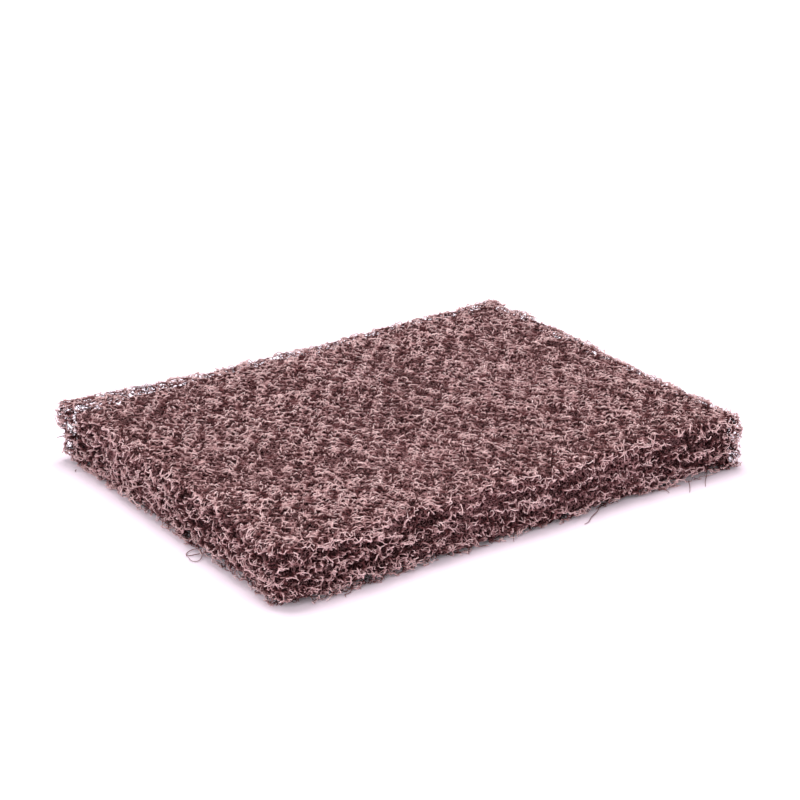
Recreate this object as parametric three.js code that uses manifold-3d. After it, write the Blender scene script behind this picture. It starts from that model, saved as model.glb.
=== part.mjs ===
// Nylon scouring pad: one block of matted, crimped fibre, cut to a rectangle from a thick lofty web.
// Millimetres, +Z up. The origin is the middle of the underside, X runs along the length, Y along the width.
// Its surface is an open web: crests where fibres cross, and deep pits between them. The cut edges also
// show the beds in which the web was laid, parted by wavy hollows.
import * as THREE from "three";
import { mergeVertices } from "three/addons/utils/BufferGeometryUtils.js";
import Module from "manifold-3d";

// The pad over its outermost fibres.
const padLength = 133.35;
const padWidth = 101.6;
const padThickness = 15;

// The soft corners, as they have rounded in plan.
const nearLeftRadius = 7;
const nearRightRadius = 2.5;
const farRightRadius = 3;
const farLeftRadius = 2;

// How many grid steps the web of each side has. Every second grid point is a pit.
const topColumns = 56;
const topRows = 42;
const undersideColumns = 40;
const undersideRows = 30;
const edgeSteps = 188;

// The depth of the web below its crests, and how far grid points stray, as a share of one step.
const crestDrop = 0.5;
const shallowestPit = 1.3;
const deepestPit = 2.9;
const pitStray = 0.3;
const feltedShare = 0.12;

// The felted spot in the middle of the underside reaches this many grid steps each way.
const seatSteps = 1;

// The pad's loft: long shallow swells of the top and of the cut edges.
const topSwell = 0.7;
const edgeSwell = 0.9;

// The beds in a cut edge, the hollows that part them, and the rounding of the two rims.
const bedCount = 3;
const rowsPerBed = 2;
const shallowestHollow = 0.2;
const deepestHollow = 2.2;
const bedWander = 0.7;
const topRimRounding = 1.1;
const lowerRimRounding = 1.7;

const webSeed = 7;
const overshoot = 3;

THREE.MathUtils.seededRandom(webSeed);

function between(low, high) {
  return THREE.MathUtils.lerp(low, high, THREE.MathUtils.seededRandom());
}

// A smooth wave from 0 to 1 over a closed run t of 0 to 1, made of a few whole turns with random phases.
function makeWave(turns) {
  const parts = turns.map((turn) => ({ turn, phase: between(0, 2 * Math.PI) }));
  const swing = Math.sqrt(parts.length);
  return (t) => {
    const sum = parts.reduce((total, { turn, phase }) => total + Math.sin(2 * Math.PI * turn * t + phase), 0);
    return THREE.MathUtils.smoothstep(sum, -swing, swing);
  };
}

// Crests and pits lie like the two colours of a chessboard.
function isCrest(column, row) {
  return (column + row) % 2 === 0;
}

// How far a grid point lies below the outermost fibres. A felted pit is closed by fibres across it.
function webDepth(column, row) {
  const crest = between(0, crestDrop);
  const pit = between(shallowestPit, deepestPit);
  const felted = between(0, 1) < feltedShare;
  return isCrest(column, row) || felted ? crest : pit;
}

// A grid cell is split from crest to crest, which leaves a net of ridges round the pits.
function splitCell(near, right, far, left, crestFirst) {
  return crestFirst ? [near, right, far, near, far, left] : [near, right, left, right, far, left];
}

function toSolid(wasm, points, triangles) {
  const geometry = new THREE.BufferGeometry().setFromPoints(points).setIndex(triangles);
  const merged = mergeVertices(geometry, 1e-5);
  return new wasm.Manifold(
    new wasm.Mesh({
      numProp: 3,
      vertProperties: merged.attributes.position.array,
      triVerts: new Uint32Array(merged.index.array),
    }),
  );
}

// One half of the pad's height as a block with an open web on its outer side and a flat back at mid height.
// It is wider than the pad all round by the overshoot.
function faceBlock(wasm, columns, rows, upward, levelAt) {
  const across = padLength + 2 * overshoot;
  const along = padWidth + 2 * overshoot;
  const front = [];
  const back = [];
  for (let row = 0; row <= rows; row += 1) {
    for (let column = 0; column <= columns; column += 1) {
      const x = ((column + between(-pitStray, pitStray)) / columns - 0.5) * across;
      const y = ((row + between(-pitStray, pitStray)) / rows - 0.5) * along;
      front.push(new THREE.Vector3(x, y, levelAt(column, row)));
      back.push(new THREE.Vector3(x, y, padThickness / 2));
    }
  }
  const pointAt = (column, row) => row * (columns + 1) + column;
  const backOffset = front.length;
  const triangles = [];
  for (let row = 0; row < rows; row += 1) {
    for (let column = 0; column < columns; column += 1) {
      const corners = [
        pointAt(column, row),
        pointAt(column + 1, row),
        pointAt(column + 1, row + 1),
        pointAt(column, row + 1),
      ];
      const cell = splitCell(...corners, isCrest(column, row));
      triangles.push(...cell, ...cell.map((index) => index + backOffset).reverse());
    }
  }
  const border = [];
  for (let column = 0; column < columns; column += 1) border.push(pointAt(column, 0));
  for (let row = 0; row < rows; row += 1) border.push(pointAt(columns, row));
  for (let column = columns; column > 0; column -= 1) border.push(pointAt(column, rows));
  for (let row = rows; row > 0; row -= 1) border.push(pointAt(0, row));
  border.forEach((start, index) => {
    const end = border[(index + 1) % border.length];
    triangles.push(start, start + backOffset, end + backOffset, start, end + backOffset, end);
  });
  if (!upward) triangles.reverse();
  return toSolid(wasm, [...front, ...back], triangles);
}

// The top swells gently, as a lofty web does.
function topBlock(wasm) {
  const lengthWave = makeWave([1, 2, 3]);
  const widthWave = makeWave([1, 2]);
  return faceBlock(wasm, topColumns, topRows, true, (column, row) => {
    const swell = lengthWave(column / topColumns) * widthWave(row / topRows);
    return padThickness - topSwell * swell - webDepth(column, row);
  });
}

// The underside's crests all touch the surface that the pad lies on, and its felted spots lie flat on it.
// One such spot is in the middle.
function undersideBlock(wasm) {
  return faceBlock(wasm, undersideColumns, undersideRows, false, (column, row) => {
    const depth = webDepth(column, row);
    const columnsOff = Math.abs(column - undersideColumns / 2);
    const rowsOff = Math.abs(row - undersideRows / 2);
    const inSeat = Math.max(columnsOff, rowsOff) <= seatSteps;
    return depth > crestDrop && !inSeat ? depth : 0;
  });
}

function padOutline() {
  const halfLength = padLength / 2;
  const halfWidth = padWidth / 2;
  const quarter = Math.PI / 2;
  const outline = new THREE.Shape();
  const addCorner = (sideX, sideY, radius, start) => {
    outline.absarc(sideX * (halfLength - radius), sideY * (halfWidth - radius), radius, start, start + quarter);
  };
  addCorner(1, -1, nearRightRadius, -quarter);
  addCorner(1, 1, farRightRadius, 0);
  addCorner(-1, 1, farLeftRadius, quarter);
  addCorner(-1, -1, nearLeftRadius, 2 * quarter);
  return outline.closePath();
}

// The pad's outline as an upright block, with the web and the beds of the cut edges on its sides.
// It is taller than the pad at both ends by the overshoot.
function edgeBlock(wasm) {
  const outline = padOutline();
  const rows = bedCount * rowsPerBed;
  const outlineWave = makeWave([3, 7, 11]);
  const hollowWaves = Array.from({ length: bedCount }, () => makeWave([5, 9, 14]));
  const wanderWaves = Array.from({ length: bedCount }, () => makeWave([8, 13, 21]));
  const points = [];
  const addRing = (height, recessAt, stray) => {
    for (let step = 0; step < edgeSteps; step += 1) {
      const t = (step + between(-stray, stray) + edgeSteps) / edgeSteps % 1;
      const place = outline.getPoint(t);
      const tangent = outline.getTangent(t);
      const recess = edgeSwell * outlineWave(t) + recessAt(step, t);
      points.push(new THREE.Vector3(
        place.x - tangent.y * recess,
        place.y + tangent.x * recess,
        height(t),
      ));
    }
  };
  addRing(() => -overshoot, () => lowerRimRounding, 0);
  for (let row = 0; row <= rows; row += 1) {
    const level = (row / rows) * padThickness;
    const rim = { 0: lowerRimRounding, [rows]: topRimRounding }[row];
    const bed = row / rowsPerBed;
    if (rim !== undefined) addRing(() => level, (step) => rim + webDepth(step, row) / 2, pitStray);
    else if (Number.isInteger(bed)) {
      const wander = (t) => level + bedWander * (2 * wanderWaves[bed](t) - 1);
      const hollow = (t) => THREE.MathUtils.lerp(shallowestHollow, deepestHollow, hollowWaves[bed](t));
      addRing(wander, (step, t) => hollow(t) + webDepth(step, row) / 2, pitStray);
    } else addRing(() => level, (step) => webDepth(step, row), pitStray);
  }
  addRing(() => padThickness + overshoot, () => topRimRounding, 0);

  const triangles = [];
  const ringCount = rows + 3;
  for (let ring = 0; ring < ringCount - 1; ring += 1) {
    for (let step = 0; step < edgeSteps; step += 1) {
      const next = (step + 1) % edgeSteps;
      const low = ring * edgeSteps;
      const high = low + edgeSteps;
      triangles.push(...splitCell(low + step, low + next, high + next, high + step, isCrest(step, ring + 1)));
    }
  }
  const foot = points.push(new THREE.Vector3(0, 0, -overshoot)) - 1;
  const head = points.push(new THREE.Vector3(0, 0, padThickness + overshoot)) - 1;
  const lastRing = (ringCount - 1) * edgeSteps;
  for (let step = 0; step < edgeSteps; step += 1) {
    const next = (step + 1) % edgeSteps;
    triangles.push(foot, next, step, head, lastRing + step, lastRing + next);
  }
  return toSolid(wasm, points, triangles);
}

// The origin goes to the middle of the underside of the finished web.
function padGeometry(wasm) {
  const solid = topBlock(wasm).add(undersideBlock(wasm)).intersect(edgeBlock(wasm));
  const mesh = solid.getMesh();
  const geometry = new THREE.BufferGeometry();
  geometry.setAttribute("position", new THREE.BufferAttribute(mesh.vertProperties, mesh.numProp));
  geometry.setIndex(new THREE.BufferAttribute(mesh.triVerts, 1));
  geometry.computeBoundingBox();
  const { min, max } = geometry.boundingBox;
  geometry.translate(-(min.x + max.x) / 2, -(min.y + max.y) / 2, -min.z);
  return geometry;
}

const wasm = await Module();
wasm.setup();

const maroonWeb = new THREE.MeshStandardMaterial({ color: 0x816263, roughness: 0.9, metalness: 0 });
const scouringPad = new THREE.Mesh(padGeometry(wasm), maroonWeb);
scouringPad.name = "scouring_pad";

const part = new THREE.Group();
part.add(scouringPad);

export default part;
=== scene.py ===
"""Dresses the nylon scouring pad: a block of crimped, resin-coated fibres laid in three beds."""

import math

import bmesh
import bpy
import numpy as np
from mathutils import Matrix, Vector


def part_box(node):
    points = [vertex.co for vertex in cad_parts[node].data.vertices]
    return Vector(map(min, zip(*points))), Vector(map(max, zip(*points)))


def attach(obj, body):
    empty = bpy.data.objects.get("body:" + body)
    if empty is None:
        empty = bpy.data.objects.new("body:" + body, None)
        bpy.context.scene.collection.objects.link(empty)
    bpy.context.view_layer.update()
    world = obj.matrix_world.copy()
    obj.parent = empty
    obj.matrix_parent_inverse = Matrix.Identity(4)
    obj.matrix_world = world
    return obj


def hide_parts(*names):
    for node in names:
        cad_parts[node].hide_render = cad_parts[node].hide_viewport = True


bl_info = {
    "name": "Scouring Pad Fibre Web",
    "version": (1, 0, 0),
    "blender": (4, 5, 0),
    "location": "View3D > Sidebar > Scouring Pad",
    "description": "Lays the crimped fibres of a nylon scouring pad and sets its stage",
    "category": "Object",
}

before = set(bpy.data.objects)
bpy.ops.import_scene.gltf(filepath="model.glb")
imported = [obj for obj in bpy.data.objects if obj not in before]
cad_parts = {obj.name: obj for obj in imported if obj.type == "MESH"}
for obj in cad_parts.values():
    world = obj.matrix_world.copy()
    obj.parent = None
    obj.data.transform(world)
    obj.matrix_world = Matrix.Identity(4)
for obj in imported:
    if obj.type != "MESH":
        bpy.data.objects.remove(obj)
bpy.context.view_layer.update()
PAD_LOW, PAD_HIGH = (np.array(corner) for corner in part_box("scouring_pad"))
PAD_SIZE = PAD_HIGH - PAD_LOW
PAD_MIDDLE = (PAD_HIGH + PAD_LOW) / 2

MM = 0.001

BEDS = 3
TOP_LAYS = 4
EDGE_LAYS = 3

# The corners of a fibre's section, and the fewest points that a cut fibre may have.
FIBRE_SIDES = 3
SHORTEST_FIBRE = 4

# How many times a fibre may cross the thickness of its lay in each metre of its length.
BED_SLOPE = 9
TOP_SLOPE = 60
BRIDGE_SLOPE = 45
EDGE_SLOPE = 90

# How far the deep web lies inside the solid, how much its relief is eased, and how it flares near the foot.
DEEP_TOP = 0.95 * MM
DEEP_FOOT = 0.3 * MM
DEEP_SIDE = 0.3 * MM
DEEP_EASE = 0.6
DEEP_SPREAD = 0.8 * MM
DEEP_FLARE = 3.0 * MM

# What the coat's map spans: a depth across, which darkens the coat as painted shade, and a length up. Across,
# each fibre's turn adds a little.
COAT_DEPTH = 1.6 * MM
COAT_LENGTH = 0.12
COAT_MARGIN, COAT_SPAN, COAT_TURN = 0.02, 0.88, 0.08


class WebSettings(bpy.types.PropertyGroup):
    """Sizes of the fibre web."""

    corner_radii: bpy.props.FloatVectorProperty(
        name="Corner radii",
        description="Plan radii of the near left, near right, far right and far left corner",
        default=(0.007, 0.0015, 0.003, 0.001), size=4, precision=4, unit="LENGTH",
    )
    fibre_radius: bpy.props.FloatProperty(
        name="Fibre radius", description="Radius of a fibre with its resin coat",
        default=0.00012, precision=5, unit="LENGTH",
    )
    staple_length: bpy.props.FloatProperty(
        name="Staple length", description="Length that a fibre spans in the web",
        default=0.030, unit="LENGTH",
    )
    crimp_length: bpy.props.FloatProperty(
        name="Crimp length", description="Length of one wave of a fibre's crimp",
        default=0.0014, precision=4, unit="LENGTH",
    )
    crimp_height: bpy.props.FloatProperty(
        name="Crimp height", description="How far the crimp swings to each side",
        default=0.00034, precision=5, unit="LENGTH",
    )
    crimp_steps: bpy.props.IntProperty(
        name="Crimp steps", description="Straight steps in one wave of the crimp",
        default=4, min=4,
    )
    fibres_in_bed: bpy.props.IntVectorProperty(
        name="Fibres in a bed", description="Fibres in each of the three beds before the block is cut",
        default=(1500, 2000, 1100), min=1,
    )
    fibres_in_top: bpy.props.IntProperty(
        name="Fibres in a top lay",
        description="Fibres in each of the loose lays on top, before the block is cut",
        default=405, min=1,
    )
    bridging_fibres: bpy.props.IntProperty(
        name="Bridging fibres", description="Fibres that cross from bed to bed before the block is cut",
        default=1400, min=1,
    )
    edge_fibres: bpy.props.IntProperty(
        name="Edge fibres", description="Fibres in each of the lays that the cut has combed along the edges",
        default=225, min=1,
    )
    seed: bpy.props.IntProperty(
        name="Seed", description="Start of the random lie of the fibres", default=11,
    )


class StageSettings(bpy.types.PropertyGroup):
    """The camera, the floor and the lamps."""

    lens: bpy.props.FloatProperty(
        name="Lens", description="Focal length on a 36 mm wide sensor", default=104.7,
    )
    azimuth: bpy.props.FloatProperty(
        name="Azimuth", description="Turn of the camera about the pad, from the front",
        default=math.radians(-34.54), subtype="ANGLE",
    )
    elevation: bpy.props.FloatProperty(
        name="Elevation", description="Angle of the camera above the pad",
        default=math.radians(23.52), subtype="ANGLE",
    )
    distance: bpy.props.FloatProperty(
        name="Distance", description="From the middle of the pad to the camera",
        default=0.5758, unit="LENGTH",
    )
    aim_height: bpy.props.FloatProperty(
        name="Aim height", description="Height above the floor at which the camera aims",
        default=0.0171, unit="LENGTH",
    )
    roll: bpy.props.FloatProperty(
        name="Roll", description="Roll of the camera about its own axis",
        default=math.radians(-0.406), subtype="ANGLE",
    )


def add_object(name, data):
    piece = bpy.data.objects.new(name, data)
    bpy.context.collection.objects.link(piece)
    return piece


def new_material(name):
    """A material with a Principled BSDF, and its node tree."""
    material = bpy.data.materials.new(name)
    material.use_nodes = True
    return material, material.node_tree.nodes, material.node_tree.links


class Wave:
    """A smooth random field from 0 to 1, a sum of a few plane waves."""

    SWING = 0.35

    def __init__(self, rng, longest, shortest, rise=None, count=5):
        length = rng.uniform(shortest, longest, count)
        heading = rng.uniform(0, 2 * np.pi, count)
        self.x = 2 * np.pi / length * np.cos(heading)
        self.y = 2 * np.pi / length * np.sin(heading)
        self.z = 2 * np.pi / rng.uniform(*rise, count) if rise else np.zeros(count)
        self.phase = rng.uniform(0, 2 * np.pi, count)

    def __call__(self, x, y, z=0.0):
        total = sum(
            np.sin(kx * x + ky * y + kz * z + phase)
            for kx, ky, kz, phase in zip(self.x, self.y, self.z, self.phase)
        )
        share = np.clip(0.5 + self.SWING * total / math.sqrt(len(self.phase) / 2), 0, 1)
        return share * share * (3 - 2 * share)

    def downhill(self, x, y, z):
        """Direction away from the field's peaks, about 1 long where the field is steep."""
        push = np.zeros((3, *x.shape))
        for k in zip(self.x, self.y, self.z, self.phase):
            wave = np.array(k[:3])
            direction = wave / np.linalg.norm(wave) / math.sqrt(len(self.phase) / 2)
            push -= direction[:, None, None] * np.cos(wave[0] * x + wave[1] * y + wave[2] * z + k[3])
        return push


class Block:
    """The cut block that the fibres fill: its beds, their hollows and its outline."""

    TOP_SWELL = 0.7 * MM
    EDGE_SWELL = 0.9 * MM
    FRAY = 0.7 * MM
    WANDER = 0.8 * MM
    OUTSET = 1.1 * MM
    GAP_LEAST, GAP_MOST = -0.9 * MM, 0.5 * MM
    HOLLOW_MOST = 1.1 * MM
    HOLLOW_START = 0.55
    TOP_RIM, TOP_REACH = 1.4 * MM, 3.6 * MM
    FOOT_RIM, FOOT_REACH = 0.5 * MM, 3.0 * MM
    PULLED_CORNER, PULLED_REACH = 2.2 * MM, 11.0 * MM
    LIFTED_CORNER, LIFTED_REACH = 1.3 * MM, 26.0 * MM
    PIT_PUSH = 0.42 * MM
    STREAK_PUSH = 0.25 * MM
    LOOSE_TOP = 1.15 * MM
    TOP_LAY = 1.0 * MM
    EDGE_LAY = 1.2 * MM
    SIDE_SHADE = 0.7
    LOOSE_FOOT = 1.0 * MM
    LOOSE_SIDE = 2.8 * MM
    FOOT_SHARE = 0.3
    FOOT_SHADE = 0.1 * MM
    FOOT_CLEAR = 0.35 * MM
    PROUD_LEAST, PROUD_MOST = -0.25, 0.30
    CORNER_POINTS = 19
    OUTLINE_POINTS = 2000

    def __init__(self, rng, corner_radii):
        self.radii = corner_radii
        self.top = Wave(rng, 0.090, 0.035)
        self.edge = Wave(rng, 0.060, 0.018)
        self.fray = Wave(rng, 0.009, 0.003, rise=(0.003, 0.009))
        self.wander = [Wave(rng, 0.040, 0.012) for _ in range(BEDS + 1)]
        self.parting = [Wave(rng, 0.020, 0.006) for _ in range(BEDS + 1)]
        self.hollow = Wave(rng, 0.014, 0.005, rise=(0.0022, 0.0055), count=7)
        self.pit = Wave(rng, 0.0027, 0.0014, rise=(0.006, 0.015), count=9)
        self.streak = Wave(rng, 0.009, 0.004, rise=(0.0015, 0.0030), count=9)

    def corner_share(self, x, y, reach):
        """1 at the far left corner, which is pulled out and up, falling off over the reach."""
        away = np.hypot(x - PAD_LOW[0], y - PAD_HIGH[1]) / reach
        return np.exp(-away * away)

    def level(self, index, x, y):
        """Height of the surface below bed number index."""
        if index == 0:
            return np.full_like(x, PAD_LOW[2])
        if index == BEDS:
            lift = self.LIFTED_CORNER * self.corner_share(x, y, self.LIFTED_REACH)
            return PAD_HIGH[2] - self.TOP_SWELL * self.top(x, y) + lift
        wander = self.WANDER * (2 * self.wander[index](x, y) - 1)
        return PAD_LOW[2] + PAD_SIZE[2] * index / BEDS + wander

    def gap(self, index, x, y):
        """Clear height between two beds."""
        if index in (0, BEDS):
            return np.zeros_like(x)
        return self.GAP_LEAST + (self.GAP_MOST - self.GAP_LEAST) * self.parting[index](x, y)

    def span(self, first, last, x, y):
        """Lowest and highest level of the beds from first to last."""
        low = self.level(first, x, y) + self.gap(first, x, y) / 2
        high = self.level(last + 1, x, y) - self.gap(last + 1, x, y) / 2
        return low, high

    def depths(self, x, y, z):
        """Depths of a point below the top, the cut sides and the foot."""
        half = PAD_SIZE / 2 + self.OUTSET
        near_left, near_right, far_right, far_left = self.radii
        left = x < PAD_MIDDLE[0]
        radius = np.where(
            y < PAD_MIDDLE[1], np.where(left, near_left, near_right), np.where(left, far_left, far_right)
        )
        past_x = np.abs(x - PAD_MIDDLE[0]) - (half[0] - radius)
        past_y = np.abs(y - PAD_MIDDLE[1]) - (half[1] - radius)
        corner = np.hypot(np.maximum(past_x, 0), np.maximum(past_y, 0))
        side = radius - corner - np.minimum(np.maximum(past_x, past_y), 0)
        side = side - self.EDGE_SWELL * self.edge(x, y) - self.FRAY * self.fray(x, y, z)
        top = self.level(BEDS, x, y) - z
        foot = z - self.level(0, x, y)
        for face, rim, reach in ((top, self.TOP_RIM, self.TOP_REACH), (foot, self.FOOT_RIM, self.FOOT_REACH)):
            near = np.clip(1 - face / reach, 0, 1)
            side = side - rim * near * near
        raised = np.clip(foot / PAD_SIZE[2], 0, 1)
        side = side + self.PULLED_CORNER * raised * self.corner_share(x, y, self.PULLED_REACH)
        return top, side, foot

    def outline(self):
        """Points round the block's plan, the first one again at the end, and their inward directions."""
        half = PAD_SIZE[:2] / 2 + self.OUTSET
        points, inward = [], []
        sides, quarters = ((-1, -1), (1, -1), (1, 1), (-1, 1)), (2, 3, 0, 1)
        for (side_x, side_y), radius, start in zip(sides, self.radii, quarters):
            turn = np.radians(np.linspace(90 * start, 90 * start + 90, self.CORNER_POINTS))[:, None]
            outward = np.concatenate((np.cos(turn), np.sin(turn)), axis=1)
            points.append(PAD_MIDDLE[:2] + np.array((side_x, side_y)) * (half - radius) + radius * outward)
            inward.append(-outward)
        points, inward = np.concatenate(points), np.concatenate(inward)
        points, inward = (np.concatenate((rows, rows[:1])) for rows in (points, inward))
        run = np.concatenate(([0], np.cumsum(np.linalg.norm(np.diff(points, axis=0), axis=1))))
        even = np.linspace(0, run[-1], self.OUTLINE_POINTS)
        points, inward = (
            np.stack([np.interp(even, run, rows[:, axis]) for axis in range(2)], axis=1)
            for rows in (points, inward)
        )
        return points, inward

    def mat(self, x, y, z):
        """Draws points away from the pits and the streaks, which mats the fibres between them."""
        push = self.PIT_PUSH * self.pit.downhill(x, y, z) + self.STREAK_PUSH * self.streak.downhill(x, y, z)
        return x + push[0], y + push[1], z + push[2]

    def hollow_depth(self, x, y, z):
        """How deep the broken hollows of the cut sides are at a point."""
        share = (self.hollow(x, y, z) - self.HOLLOW_START) / (1 - self.HOLLOW_START)
        return self.HOLLOW_MOST * np.maximum(share, 0)


def soft_limit(value, start=0.75):
    """value where it is small, bending to stay between -1 and 1."""
    size = np.abs(value)
    over = np.maximum(size - start, 0) / (1 - start)
    return np.sign(value) * (np.minimum(size, start) + (1 - start) * np.tanh(over))


def fold(value):
    """value reflected at 0 and 1 until it lies between them."""
    return 1 - np.abs(1 - np.mod(value, 2))


class Lay:
    """The random courses of many fibres at once, one fibre to a row."""

    def __init__(self, rng, web, count):
        self.rng = rng
        self.count = count
        self.step = web.crimp_length / web.crimp_steps
        self.reach = web.staple_length / 2
        self.along = np.arange(-self.reach, self.reach, self.step)
        wave = web.crimp_length * self.each(0.85, 1.35) * (1 + 0.25 * self.ripple(0.006, 0.014))
        phase = self.each(0, 2 * np.pi) + np.cumsum(2 * np.pi * self.step / wave, axis=1)
        swing = web.crimp_height * self.each(0.7, 1.4) * (1 + 0.3 * self.ripple(0.004, 0.009))
        roll = self.each(0, 2 * np.pi) + self.each(-200, 200) * self.along
        wide = swing * np.sin(phase)
        tall = swing * self.each(0.3, 0.9) * np.cos(phase)
        self.sideways = wide * np.cos(roll) - tall * np.sin(roll)
        self.outward = 1.3 * (wide * np.sin(roll) + tall * np.cos(roll))
        self.forward = swing * 0.5 * np.sin(2 * phase + self.each(-0.8, 0.8))

    def each(self, low, high):
        """One random value for each fibre."""
        return self.rng.uniform(low, high, (self.count, 1))

    def ripple(self, shortest, longest):
        """A slow wave along each fibre, from -1 to 1."""
        return np.sin(2 * np.pi * self.along / self.each(shortest, longest) + self.each(0, 2 * np.pi))

    def course(self, start_across, start_up, heading):
        """Each fibre's crimped course over a flat sheet."""
        across = np.cumsum(np.cos(heading), axis=1) * self.step
        up = np.cumsum(np.sin(heading), axis=1) * self.step
        middle = len(self.along) // 2
        across += start_across - across[:, middle, None]
        up += start_up - up[:, middle, None]
        across += self.forward * np.cos(heading) - self.sideways * np.sin(heading)
        up += self.forward * np.sin(heading) + self.sideways * np.cos(heading)
        return across, up


def lay_fibres(rng, web, block, first, last, count, slope, on_top=False):
    """The cut fibres that lie in the beds from first to last, or only in the loose top of the last."""
    lay = Lay(rng, web, count)
    turn = lay.each(-1.2, 1.2) * lay.ripple(0.016, 0.040) + lay.each(-0.5, 0.5) * lay.ripple(0.005, 0.010)
    x, y = lay.course(
        lay.each(PAD_LOW[0] - lay.reach, PAD_HIGH[0] + lay.reach),
        lay.each(PAD_LOW[1] - lay.reach, PAD_HIGH[1] + lay.reach),
        lay.each(0, 2 * np.pi) + turn,
    )
    low, high = block.span(first, last, x, y)
    if on_top:
        low = high - block.TOP_LAY
    share = fold(lay.each(0, 1) + lay.each(-slope, slope) * lay.along)
    raised = low + web.crimp_height * 0.8 + share * (high - low - 1.6 * web.crimp_height)
    x, y, raised = block.mat(x, y, raised + lay.outward)
    limit = (high - low) / 2 - 0.6 * web.fibre_radius
    if last == BEDS - 1:
        limit = limit + lay.each(block.PROUD_LEAST, block.PROUD_MOST) * MM
        low = np.maximum(low, PAD_LOW[2] + block.FOOT_CLEAR)
    z = (low + high) / 2 + limit * soft_limit((raised - (low + high) / 2) / limit)
    end_stray = np.clip(rng.normal(-0.1, 0.6, (count, 1)), -1.6, 1.6) * MM
    return cut_fibres(lay, block, x, y, z, end_stray)


def lay_along_edges(rng, web, block, count):
    """The cut fibres that the blade has combed along the edges, over the full height of the block."""
    lay = Lay(rng, web, count)
    outline, inward = block.outline()
    around = np.linspace(0, 1, len(outline))
    length = np.linalg.norm(np.diff(outline, axis=0), axis=1).sum()
    turn = lay.each(-0.7, 0.7) * lay.ripple(0.008, 0.020) + lay.each(-0.5, 0.5) * lay.ripple(0.004, 0.008)
    heading = rng.normal(0, 0.3, (count, 1)) + turn
    run, rise = lay.course(lay.each(0, length), lay.each(0, PAD_SIZE[2]), heading)
    run = np.mod(run / length, 1)
    x, y = (np.interp(run, around, outline[:, axis]) for axis in range(2))
    inward_x, inward_y = (np.interp(run, around, inward[:, axis]) for axis in range(2))
    low, high = block.span(0, BEDS - 1, x, y)
    share = fold(rise / (high - low))
    z = low + web.fibre_radius + share * (high - low - 2 * web.fibre_radius)
    _top, inset, _foot = block.depths(x, y, z)
    slant = lay.each(0, 1) + lay.each(-EDGE_SLOPE, EDGE_SLOPE) * lay.along
    depth = block.EDGE_LAY * fold(slant) + lay.outward - inset
    x, y, z = block.mat(x + inward_x * depth, y + inward_y * depth, z)
    z = low + web.fibre_radius + np.abs(z - low - web.fibre_radius)
    end_stray = np.clip(rng.normal(-0.5, 0.4, (count, 1)), -1.6, 1.0) * MM
    return cut_fibres(lay, block, x, y, z, end_stray)


def cut_fibres(lay, block, x, y, z, end_stray):
    """Cuts the courses to the block.

    Gives each cut fibre's centre line, radii, depths and start in the coat.
    """
    top, side, foot = block.depths(x, y, z)
    loose = (top < block.LOOSE_TOP) | (side < block.LOOSE_SIDE)
    loose |= (foot < block.LOOSE_FOOT) & (lay.each(0, 1) < block.FOOT_SHARE)
    inside = loose & (side - block.hollow_depth(x, y, z) > end_stray)
    # How deep a point lies below the top, the cut sides or the foot; the coat turns this into painted shade.
    depth = np.minimum(np.minimum(top, block.SIDE_SHADE * side), foot + block.FOOT_SHADE)
    radius = lay.each(0.82, 1.2) * (1 + 0.16 * lay.ripple(0.0017, 0.0042))
    start = lay.each(0, COAT_LENGTH / 2)
    fibres = []
    for row in range(lay.count):
        edges = np.flatnonzero(np.diff(np.concatenate(([0], inside[row], [0]))))
        for begin, end in zip(edges[::2], edges[1::2]):
            if end - begin < SHORTEST_FIBRE:
                continue
            part = slice(begin, end)
            line = np.stack((x[row, part], y[row, part], z[row, part]), axis=1)
            fibres.append((line, radius[row, part], depth[row, part], start[row, 0]))
    return fibres


def fibre_section(radius):
    """The closed outline that is swept along each fibre."""
    outline = bpy.data.curves.new("fibre_section", "CURVE")
    outline.dimensions = "2D"
    ring = outline.splines.new("POLY")
    ring.points.add(FIBRE_SIDES - 1)
    for index, point in enumerate(ring.points):
        turn = 2 * math.pi * index / FIBRE_SIDES
        point.co = (radius * math.cos(turn), radius * math.sin(turn), 0, 1)
    ring.use_cyclic_u = True
    return add_object("fibre_section", outline)


def sweep_fibres(name, fibres, radius, material):
    """One mesh piece of closed fibres, swept along their centre lines."""
    section = fibre_section(radius)
    route = bpy.data.curves.new(name + "_route", "CURVE")
    route.dimensions = "3D"
    route.bevel_mode = "OBJECT"
    route.bevel_object = section
    route.twist_mode = "MINIMUM"
    for line, radii, _depths, _start in fibres:
        spline = route.splines.new("POLY")
        spline.points.add(len(line) - 1)
        places = np.ones((len(line), 4), dtype=np.float32)
        places[:, :3] = line
        spline.points.foreach_set("co", places.ravel())
        spline.points.foreach_set("radius", radii.astype(np.float32))
    swept = add_object(name + "_route", route)
    graph = bpy.context.evaluated_depsgraph_get()
    mesh = bpy.data.meshes.new_from_object(swept.evaluated_get(graph), depsgraph=graph)
    bpy.data.objects.remove(swept)
    bpy.data.objects.remove(section)
    mesh.name = name
    map_coat(mesh, fibres)

    shape = bmesh.new()
    shape.from_mesh(mesh)
    bmesh.ops.holes_fill(shape, edges=shape.edges, sides=FIBRE_SIDES)
    bmesh.ops.recalc_face_normals(shape, faces=shape.faces)
    shape.to_mesh(mesh)
    shape.free()
    mesh.materials.clear()
    mesh.materials.append(material)
    mesh.polygons.foreach_set("use_smooth", np.ones(len(mesh.polygons), dtype=bool))
    piece = add_object(name, mesh)
    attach(piece, "root")
    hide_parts("scouring_pad")


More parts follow.
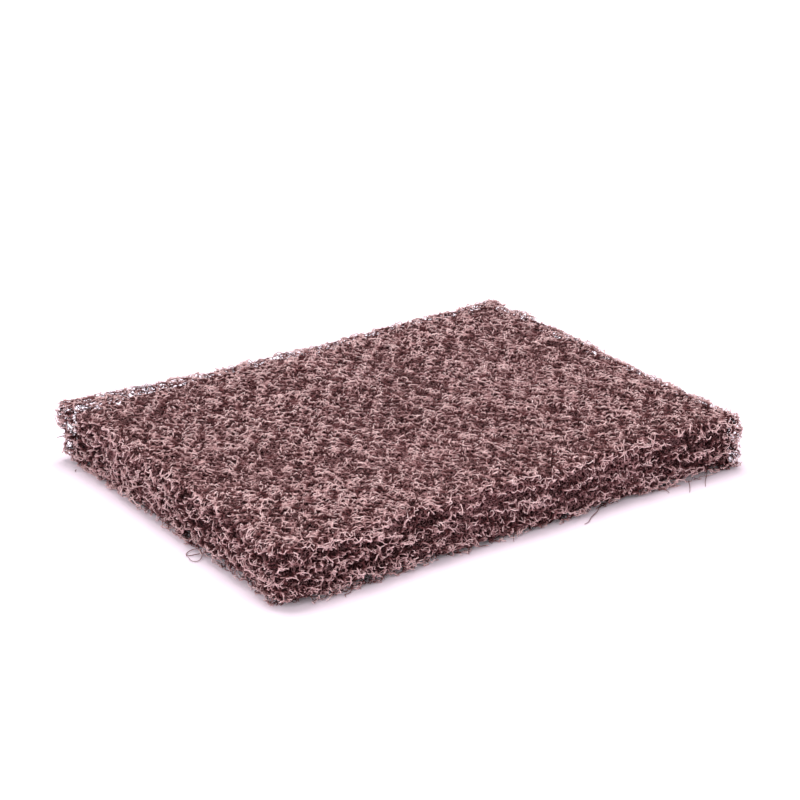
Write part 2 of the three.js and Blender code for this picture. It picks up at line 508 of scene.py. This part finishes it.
def map_coat(mesh, fibres):
    """Maps the coat: how deep a fibre lies runs across, for the coat's painted shade, and its own length runs
    up.
    """
    rings = []
    for line, _radii, depths, start in fibres:
        step = np.linalg.norm(np.diff(line, axis=0), axis=1)
        run = start + np.concatenate(([0], np.cumsum(step)))
        rings.append(np.stack((np.clip(depths / COAT_DEPTH, 0, 1), run / COAT_LENGTH), axis=1))
    rings = np.concatenate(rings)
    around = np.arange(FIBRE_SIDES) / FIBRE_SIDES
    u = COAT_MARGIN + COAT_SPAN * rings[:, :1] + COAT_TURN * around
    v = np.repeat(np.clip(rings[:, 1:], 0, 1), FIBRE_SIDES, axis=1)
    places = np.stack((u.ravel(), v.ravel()), axis=1).astype(np.float32)
    corners = np.empty(len(mesh.loops), dtype=np.int32)
    mesh.loops.foreach_get("vertex_index", corners)
    for layer in list(mesh.uv_layers):
        mesh.uv_layers.remove(layer)
    layer = mesh.uv_layers.new(name="OFBake")
    layer.data.foreach_set("uv", places[corners].ravel())


def deep_web(block_material):
    """The web below the loose fibres: the solid's own relief, eased and drawn in."""
    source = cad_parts["scouring_pad"]
    shape = bmesh.new()
    shape.from_mesh(source.data)
    bmesh.ops.remove_doubles(shape, verts=shape.verts, dist=1e-6)
    bmesh.ops.smooth_vert(
        shape, verts=shape.verts, factor=DEEP_EASE, use_axis_x=True, use_axis_y=True, use_axis_z=True
    )
    drawn_in = 1 - 2 * DEEP_SIDE / PAD_SIZE[0], 1 - 2 * DEEP_SIDE / PAD_SIZE[1]
    height = PAD_SIZE[2] - DEEP_TOP - DEEP_FOOT
    bmesh.ops.scale(shape, verts=shape.verts, vec=(*drawn_in, height / PAD_SIZE[2]))
    bmesh.ops.translate(shape, verts=shape.verts, vec=(0, 0, DEEP_FOOT))
    for vert in shape.verts:
        spread = DEEP_SPREAD * max(0, 1 - (vert.co.z - DEEP_FOOT) / DEEP_FLARE)
        vert.co.x *= 1 + 2 * spread / PAD_SIZE[0]
        vert.co.y *= 1 + 2 * spread / PAD_SIZE[1]
    mesh = bpy.data.meshes.new("deep_web")
    shape.to_mesh(mesh)
    shape.free()
    # The deep web is a dark sheet of painted shade under the loose fibres, with painted fibres on it.
    mesh.materials.append(block_material)
    piece = add_object("deep_web", mesh)
    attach(piece, "root")
    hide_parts("scouring_pad")


def add_ramp(nodes, *stops):
    """A colour ramp with the given positions and colours, the lowest and the highest stop first."""
    ramp = nodes.new("ShaderNodeValToRGB")
    elements = ramp.color_ramp.elements
    for index, (position, color) in enumerate(stops):
        element = elements[index] if index < 2 else elements.new(position)
        element.position = position
        element.color = (*color, 1)
    return ramp


def shaded_resin():
    """The deep web, which little light reaches: thin curling fibres painted over dark, and the dark is
    painted shade.
    """
    material, nodes, links = new_material("shaded_resin")
    shader = nodes["Principled BSDF"]
    place = nodes.new("ShaderNodeTexCoord")

    def combine(operation, first, second):
        step = nodes.new("ShaderNodeMath")
        step.operation = operation
        for socket, value in zip(step.inputs, (first, second)):
            if isinstance(value, float):
                socket.default_value = value
            else:
                links.new(value, socket)
        return step.outputs["Value"]

    net = None
    for scale, shift in ((560, 0.0), (680, 0.3), (800, 0.7), (920, 1.1)):
        moved = nodes.new("ShaderNodeMapping")
        moved.inputs["Location"].default_value = (shift, shift, shift)
        links.new(place.outputs["Object"], moved.inputs["Vector"])
        field = nodes.new("ShaderNodeTexNoise")
        field.inputs["Scale"].default_value = scale
        field.inputs["Detail"].default_value = 1.0
        links.new(moved.outputs["Vector"], field.inputs["Vector"])
        strand = combine("ABSOLUTE", combine("SUBTRACT", field.outputs["Fac"], 0.5), 0.0)
        net = strand if net is None else combine("MINIMUM", net, strand)
    # Light painted strands over dark gaps; the gaps are painted shade.
    tones = add_ramp(
        nodes,
        (0.002, (0.420, 0.235, 0.239)), (0.036, (0.013, 0.001, 0.002)), (0.012, (0.240, 0.112, 0.116)),
        (0.023, (0.060, 0.015, 0.017)),
    )
    links.new(net, tones.inputs["Fac"])
    links.new(tones.outputs["Color"], shader.inputs["Base Color"])
    bump = nodes.new("ShaderNodeBump")
    bump.invert = True
    bump.inputs["Strength"].default_value = 1.0
    bump.inputs["Distance"].default_value = 0.002
    links.new(net, bump.inputs["Height"])
    links.new(bump.outputs["Normal"], shader.inputs["Normal"])
    shader.inputs["Roughness"].default_value = 0.9
    shader.inputs["Specular IOR Level"].default_value = 0.05
    return material


def resin_coat():
    """Maroon resin with grit in it: uneven from fibre to fibre and along each, with painted shade that
    darkens it deep in the web.
    """
    material, nodes, links = new_material("resin_coat")
    shader = nodes["Principled BSDF"]
    place = nodes.new("ShaderNodeUVMap")
    place.uv_map = "OFBake"

    def coat_noise(scale, detail):
        stretch = nodes.new("ShaderNodeMapping")
        stretch.inputs["Scale"].default_value = (*scale, 1)
        links.new(place.outputs["UV"], stretch.inputs["Vector"])
        noise = nodes.new("ShaderNodeTexNoise")
        noise.inputs["Scale"].default_value = 1.0
        noise.inputs["Detail"].default_value = detail
        links.new(stretch.outputs["Vector"], noise.inputs["Vector"])
        return noise.outputs["Fac"]

    tones = add_ramp(
        nodes,
        (0.30, (0.460, 0.265, 0.268)), (0.70, (1.000, 0.760, 0.760)), (0.50, (0.800, 0.540, 0.542)),
    )
    links.new(coat_noise((3, 45), 4), tones.inputs["Fac"])
    across = nodes.new("ShaderNodeSeparateXYZ")
    links.new(place.outputs["UV"], across.inputs["Vector"])
    # Painted shade: the deeper a fibre lies in the web, the darker its coat.
    shade = add_ramp(
        nodes,
        (0.07, (1, 1, 1)), (0.56, (0.036, 0.004, 0.006)), (0.19, (0.71, 0.60, 0.605)),
        (0.35, (0.18, 0.075, 0.080)),
    )
    links.new(across.outputs["X"], shade.inputs["Fac"])
    darker = nodes.new("ShaderNodeMix")
    darker.data_type = "RGBA"
    darker.blend_type = "MULTIPLY"
    darker.inputs["Factor"].default_value = 1.0
    links.new(tones.outputs["Color"], darker.inputs["A"])
    links.new(shade.outputs["Color"], darker.inputs["B"])
    links.new(darker.outputs["Result"], shader.inputs["Base Color"])

    grit = coat_noise((40, 500), 2)
    rough = nodes.new("ShaderNodeMapRange")
    rough.inputs["From Min"].default_value = 0.3
    rough.inputs["From Max"].default_value = 0.7
    rough.inputs["To Min"].default_value = 0.35
    rough.inputs["To Max"].default_value = 0.75
    links.new(grit, rough.inputs["Value"])
    links.new(rough.outputs["Result"], shader.inputs["Roughness"])
    bump = nodes.new("ShaderNodeBump")
    bump.inputs["Strength"].default_value = 0.5
    bump.inputs["Distance"].default_value = 0.00006
    links.new(grit, bump.inputs["Height"])
    links.new(bump.outputs["Normal"], shader.inputs["Normal"])
    shader.inputs["Specular IOR Level"].default_value = 0.2
    return material


class PAD_OT_stage(bpy.types.Operator):
    """Set the camera, the white floor and the soft lamps"""

    bl_idname = "pad.stage"
    bl_label = "Set the stage"

    FLOOR_REACH = 3.0
    SHADOW_REACH, WHITE_FROM = 0.09, 0.20
    SOFT_LIGHT = 0.45

    def execute(self, context):
        stage = context.scene.pad_stage
        scene = context.scene
        camera = add_object("camera", bpy.data.cameras.new("camera"))
        camera.data.lens = stage.lens
        camera.data.sensor_width = 36
        camera.data.clip_start = 0.01
        scene.camera = camera
        level = math.cos(stage.elevation)
        outward = Vector((
            level * math.sin(stage.azimuth),
            -level * math.cos(stage.azimuth),
            math.sin(stage.elevation),
        ))
        place = Vector(PAD_MIDDLE) + stage.distance * outward
        aim = Vector((PAD_MIDDLE[0], PAD_MIDDLE[1], stage.aim_height))
        back = (place - aim).normalized()
        right = Vector((0, 0, 1)).cross(back).normalized()
        turn = Matrix((right, back.cross(right), back)).transposed()
        turn = turn @ Matrix.Rotation(stage.roll, 3, "Z")
        camera.matrix_world = Matrix.Translation(place) @ turn.to_4x4()
        scene.view_settings.view_transform = "Standard"
        self.add_floor()
        self.light_world(scene)
        self.add_lamps()
        return {"FINISHED"}

    def add_floor(self):
        shape = bmesh.new()
        bmesh.ops.create_grid(shape, x_segments=1, y_segments=1, size=self.FLOOR_REACH)
        bmesh.ops.translate(shape, verts=shape.verts, vec=(0, 0, PAD_LOW[2]))
        mesh = bpy.data.meshes.new("floor")
        shape.to_mesh(mesh)
        shape.free()
        material, nodes, links = new_material("white_floor")
        shader = nodes["Principled BSDF"]
        shader.inputs["Base Color"].default_value = (0.93, 0.81, 0.91, 1)
        shader.inputs["Roughness"].default_value = 0.9
        place = nodes.new("ShaderNodeTexCoord")
        distance = nodes.new("ShaderNodeVectorMath")
        distance.operation = "LENGTH"
        links.new(place.outputs["Object"], distance.inputs[0])
        away = nodes.new("ShaderNodeMapRange")
        away.inputs["From Min"].default_value = self.SHADOW_REACH
        away.inputs["From Max"].default_value = self.WHITE_FROM
        away.inputs["To Min"].default_value = 0.03
        away.inputs["To Max"].default_value = 1.0
        links.new(distance.outputs["Value"], away.inputs["Value"])
        path = nodes.new("ShaderNodeLightPath")
        lift = nodes.new("ShaderNodeMath")
        lift.operation = "MULTIPLY"
        links.new(path.outputs["Is Camera Ray"], lift.inputs[0])
        links.new(away.outputs["Result"], lift.inputs[1])
        shader.inputs["Emission Color"].default_value = (1, 1, 1, 1)
        links.new(lift.outputs["Value"], shader.inputs["Emission Strength"])
        mesh.materials.append(material)
        add_object("floor", mesh)

    def light_world(self, scene):
        world = bpy.data.worlds.new("studio")
        scene.world = world
        world.use_nodes = True
        nodes, links = world.node_tree.nodes, world.node_tree.links
        soft = nodes["Background"]
        soft.inputs["Color"].default_value = (1, 1, 1, 1)
        soft.inputs["Strength"].default_value = self.SOFT_LIGHT
        white = nodes.new("ShaderNodeBackground")
        white.inputs["Color"].default_value = (1, 1, 1, 1)
        white.inputs["Strength"].default_value = 1.0
        path = nodes.new("ShaderNodeLightPath")
        mix = nodes.new("ShaderNodeMixShader")
        links.new(path.outputs["Is Camera Ray"], mix.inputs["Fac"])
        links.new(soft.outputs["Background"], mix.inputs[1])
        links.new(white.outputs["Background"], mix.inputs[2])
        links.new(mix.outputs["Shader"], nodes["World Output"].inputs["Surface"])

    def add_lamps(self):
        lamps = (
            ("key_lamp", (0.05, 0.14, 0.90), 0.45, 6.7),
            ("left_lamp", (-0.60, -0.35, 0.45), 0.50, 3.2),
            ("right_lamp", (0.40, -0.65, 0.40), 0.50, 1.5),
        )
        for name, place, size, power in lamps:
            data = bpy.data.lights.new(name, "AREA")
            data.size = size
            data.energy = power
            lamp = add_object(name, data)
            away = Vector(place) - Vector(PAD_MIDDLE)
            lamp.matrix_world = Matrix.Translation(place) @ away.to_track_quat("Z", "Y").to_matrix().to_4x4()


class PAD_OT_fibre_beds(bpy.types.Operator):
    """Lay the crimped fibres of the three beds, over the deep web"""

    bl_idname = "pad.fibre_beds"
    bl_label = "Lay the fibre beds"

    def execute(self, context):
        web = context.scene.pad_web
        rng = np.random.default_rng(web.seed)
        block = Block(rng, web.corner_radii)
        coat = resin_coat()
        deep_web(shaded_resin())
        for bed in range(BEDS):
            fibres = lay_fibres(rng, web, block, bed, bed, web.fibres_in_bed[bed], BED_SLOPE)
            sweep_fibres(f"bed_{bed + 1}", fibres, web.fibre_radius, coat)
        for lay in range(TOP_LAYS):
            fibres = lay_fibres(
                rng, web, block, BEDS - 1, BEDS - 1, web.fibres_in_top, TOP_SLOPE, on_top=True
            )
            sweep_fibres(f"top_lay_{lay + 1}", fibres, web.fibre_radius, coat)
        for lay in range(EDGE_LAYS):
            fibres = lay_along_edges(rng, web, block, web.edge_fibres)
            sweep_fibres(f"edge_lay_{lay + 1}", fibres, web.fibre_radius, coat)
        fibres = lay_fibres(rng, web, block, 0, BEDS - 1, web.bridging_fibres, BRIDGE_SLOPE)
        sweep_fibres("bridging_fibres", fibres, web.fibre_radius, coat)
        return {"FINISHED"}


def rounded_line(points):
    """A line through the points in millimetres, with its corners cut twice."""
    line = np.array(points, dtype=float) * MM
    for _ in range(2):
        near = 0.75 * line[:-1] + 0.25 * line[1:]
        far = 0.25 * line[:-1] + 0.75 * line[1:]
        middle = np.stack((near, far), axis=1).reshape(-1, 3)
        line = np.concatenate((line[:1], middle[1:-1], line[-1:]))
    return line


class PAD_OT_stray_fibres(bpy.types.Operator):
    """Lay the few fibres that have pulled out of the cut edges"""

    bl_idname = "pad.stray_fibres"
    bl_label = "Lay the stray fibres"

    # Strays take the coat's painted shade of a fibre this deep, which darkens them.
    PAINTED_SHADE_DEPTH = 0.5 * MM
    THICKNESS = 1.1
    TAPER = 0.4
    COAT_STEP = 0.008
    ROUTES = (
        (
            (-65.0, -17.2, 1.2), (-67.3, -15.6, 0.6), (-69.9, -14.5, 0.3), (-67.9, -12.6, 0.3),
            (-65.8, -13.6, 0.9), (-66.3, -16.6, 0.9), (-68.3, -18.7, 0.4), (-69.9, -17.6, 0.3),
            (-69.6, -15.6, 0.4),
        ),
        ((23.3, -49.6, 1.1), (21.5, -50.9, 0.5), (18.7, -52.0, 0.3), (16.6, -53.8, 0.3), (15.0, -54.1, 0.3)),
        ((57.6, -48.9, 1.6), (56.6, -50.2, 0.7), (54.0, -52.4, 0.3), (52.1, -54.7, 0.3)),
        ((49.9, -51.0, 1.0), (48.5, -53.2, 0.4), (46.7, -55.1, 0.3)),
        ((44.0, -49.3, 1.2), (42.4, -50.3, 0.5), (43.0, -51.2, 0.3), (42.5, -52.4, 0.3)),
        ((-1.2, -48.6, 1.2), (-2.4, -49.6, 0.6), (-4.1, -51.8, 0.3)),
        ((-13.8, -48.6, 1.1), (-15.2, -49.5, 0.5), (-16.5, -51.3, 0.3)),
        ((-47.5, -50.0, 1.2), (-49.0, -51.6, 0.4), (-50.6, -51.2, 0.3), (-51.0, -52.6, 0.3)),
        ((-64.8, 49.6, 6.9), (-66.3, 50.4, 6.6), (-67.6, 51.3, 6.3), (-68.2, 51.8, 5.9)),
        ((-68.4, 42.4, 0.25), (-68.1, 42.9, 0.25), (-67.7, 43.0, 0.25)),
    )

    def execute(self, context):
        web = context.scene.pad_web
        fibres = []
        for number, route in enumerate(self.ROUTES):
            line = rounded_line(route)
            taper = 1 - self.TAPER * np.linspace(0, 1, len(line)) ** 3
            # Painted shade: every stray is coloured as if it lay this deep in the web.
            depths = np.full(len(line), self.PAINTED_SHADE_DEPTH)
            fibres.append((line, self.THICKNESS * taper, depths, self.COAT_STEP * number))
        sweep_fibres("stray_fibres", fibres, web.fibre_radius, resin_coat())
        return {"FINISHED"}


class PAD_PT_panel(bpy.types.Panel):
    """Lists the pad's settings and steps"""

    bl_label = "Scouring Pad"
    bl_idname = "PAD_PT_panel"
    bl_space_type = "VIEW_3D"
    bl_region_type = "UI"
    bl_category = "Scouring Pad"

    def draw(self, context):
        for settings in (context.scene.pad_stage, context.scene.pad_web):
            box = self.layout.box()
            for name in settings.bl_rna.properties.keys():
                if name not in ("rna_type", "name"):
                    box.prop(settings, name)
        for operator in OPERATORS:
            self.layout.operator(operator.bl_idname)


OPERATORS = (PAD_OT_stage, PAD_OT_fibre_beds, PAD_OT_stray_fibres)
CLASSES = (WebSettings, StageSettings, *OPERATORS, PAD_PT_panel)


def register():
    for item in CLASSES:
        bpy.utils.register_class(item)
    bpy.types.Scene.pad_web = bpy.props.PointerProperty(type=WebSettings)
    bpy.types.Scene.pad_stage = bpy.props.PointerProperty(type=StageSettings)


def unregister():
    del bpy.types.Scene.pad_stage
    del bpy.types.Scene.pad_web
    for item in reversed(CLASSES):
        bpy.utils.unregister_class(item)


def main():
    register()
    bpy.ops.pad.stage()
    bpy.ops.pad.fibre_beds()
    bpy.ops.pad.stray_fibres()


if __name__ == "__main__":
    main()
